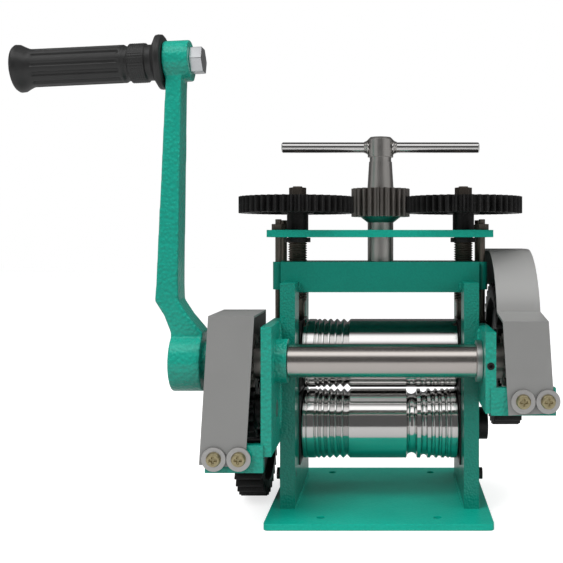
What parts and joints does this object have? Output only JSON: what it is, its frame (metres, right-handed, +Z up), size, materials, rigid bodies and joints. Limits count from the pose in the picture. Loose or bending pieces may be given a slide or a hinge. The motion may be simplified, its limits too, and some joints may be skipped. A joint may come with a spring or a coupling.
{
  "type": "etching press",
  "caption": "Hand-cranked combination rolling mill with flat, square-wire and half-round roll sections, screw-down yoke with T-handle, side gears and sheet covers, used as a small press",
  "frame": {"origin": "on the underside of the base plate, straight below the middle of the roll axes", "axes": "+X along the roll axes to the operator's right, +Y away from the operator, +Z up"},
  "size_m": [0.4173, 0.1825, 0.3765],
  "materials": {
    "green_paint": "satin",
    "cover_grey": "satin",
    "turned_steel": "satin",
    "bar_steel": "satin",
    "black_oxide": "satin",
    "bronze": "satin",
    "zinc_plate": "gloss",
    "polished_steel": "polished",
    "grip_black": "satin"
  },
  "bodies": {
    "frame": {"base_plate": "green_paint", "left_upright": "green_paint", "right_upright": "green_paint", "crossbar": "green_paint", "left_bracket": "green_paint", "right_bracket": "green_paint", "left_cover": "cover_grey", "right_cover": "cover_grey", "cover_screws": "zinc_plate", "cover_washers": "turned_steel", "bracket_set_screw": "black_oxide", "frame_screws": "black_oxide", "lower_left_block": "black_oxide", "lower_right_block": "black_oxide", "lower_bushes": "bronze", "shaft_bushes": "bronze", "idler_axle": "turned_steel", "idler_clip": "bar_steel"},
    "drive": {"drive_shaft": "polished_steel", "shaft_collar": "turned_steel", "left_pinion": "turned_steel", "right_pinion": "turned_steel", "pinion_keys": "bar_steel", "crank_arm": "green_paint", "crank_nut": "black_oxide", "handle_bolt": "zinc_plate", "handle_end_nut": "polished_steel"},
    "handle_grip": {"grip": "grip_black"},
    "idler": {"idler_gear": "black_oxide"},
    "lower_roller": {"lower_roll": "polished_steel", "lower_roll_gear": "black_oxide", "lower_gear_key": "bar_steel", "lower_gear_nut": "bar_steel", "lower_end_collar": "black_oxide"},
    "lift_yoke": {"lift_plate": "green_paint", "tie_rods": "bar_steel", "tie_rod_nuts": "bar_steel", "upper_left_block": "black_oxide", "upper_right_block": "black_oxide"},
    "upper_bearing": {"upper_bushes": "bronze"},
    "upper_roller": {"upper_roll": "polished_steel", "upper_roll_gear": "black_oxide", "upper_gear_key": "bar_steel", "upper_gear_nut": "bar_steel", "upper_end_collar": "black_oxide"},
    "left_screw_set": {"left_screw": "turned_steel", "left_screw_gear": "black_oxide", "left_screw_nut": "turned_steel", "left_thrust_washer": "black_oxide"},
    "right_screw_set": {"right_screw": "turned_steel", "right_screw_gear": "black_oxide", "right_screw_nut": "turned_steel", "right_thrust_washer": "black_oxide"},
    "press_spindle": {"spindle": "turned_steel", "spindle_pinion": "turned_steel", "t_bar": "polished_steel"}
  },
  "joints": [
    {"name": "crank_turn", "type": "hinge", "parent": "frame", "child": "drive", "pos_m": [0, -0.07492, 0.125], "axis": [1, 0, 0], "continuous": true},
    {"name": "grip_spin", "type": "hinge", "parent": "drive", "child": "handle_grip", "pos_m": [-0.15445, -0.07492, 0.356], "axis": [0.9989, 0, 0.0471], "continuous": true},
    {"name": "idler_spin", "type": "hinge", "parent": "frame", "child": "idler", "pos_m": [-0.105, -0.0719, 0.08762], "axis": [1, 0, 0], "continuous": true},
    {"name": "lower_roll_spin", "type": "hinge", "parent": "frame", "child": "lower_roller", "pos_m": [0, 0, 0.0615], "axis": [1, 0, 0], "continuous": true},
    {"name": "spindle_turn", "type": "hinge", "parent": "frame", "child": "press_spindle", "pos_m": [0, 0, 0.25], "axis": [0, 0, 1], "range_deg": [-1877.5, 717.5]},
    {"name": "yoke_lift", "type": "slide", "parent": "frame", "child": "lift_yoke", "axis": [0, 0, 1], "range_m": [-0.00189, 0.00498]},
    {"name": "left_screw_turn", "type": "hinge", "parent": "lift_yoke", "child": "left_screw_set", "pos_m": [-0.071, 0, 0.2], "axis": [0, 0, 1], "range_deg": [-341.21, 897.04]},
    {"name": "right_screw_turn", "type": "hinge", "parent": "lift_yoke", "child": "right_screw_set", "pos_m": [0.071, 0, 0.2], "axis": [0, 0, 1], "range_deg": [-341.21, 897.04]},
    {"name": "upper_bearing_roll", "type": "hinge", "parent": "lift_yoke", "child": "upper_bearing", "pos_m": [0, 0, 0.1215], "axis": [1, 0, 0], "range_deg": [-2.9, 6]},
    {"name": "upper_roll_spin", "type": "hinge", "parent": "upper_bearing", "child": "upper_roller", "pos_m": [0, 0, 0.1215], "axis": [1, 0, 0], "continuous": true}
  ],
  "couplings": [
    {"joint": "idler_spin", "follows": "crank_turn", "ratio": -0.92308},
    {"joint": "lower_roll_spin", "follows": "crank_turn", "ratio": 0.31579},
    {"joint": "upper_roll_spin", "follows": "crank_turn", "ratio": -0.31579},
    {"joint": "spindle_turn", "follows": "yoke_lift", "rad_per_m": -6556.4},
    {"joint": "left_screw_turn", "follows": "yoke_lift", "rad_per_m": 3141.6},
    {"joint": "right_screw_turn", "follows": "yoke_lift", "rad_per_m": 3141.6},
    {"joint": "upper_bearing_roll", "follows": "yoke_lift", "rad_per_m": 17.544}
  ]
}
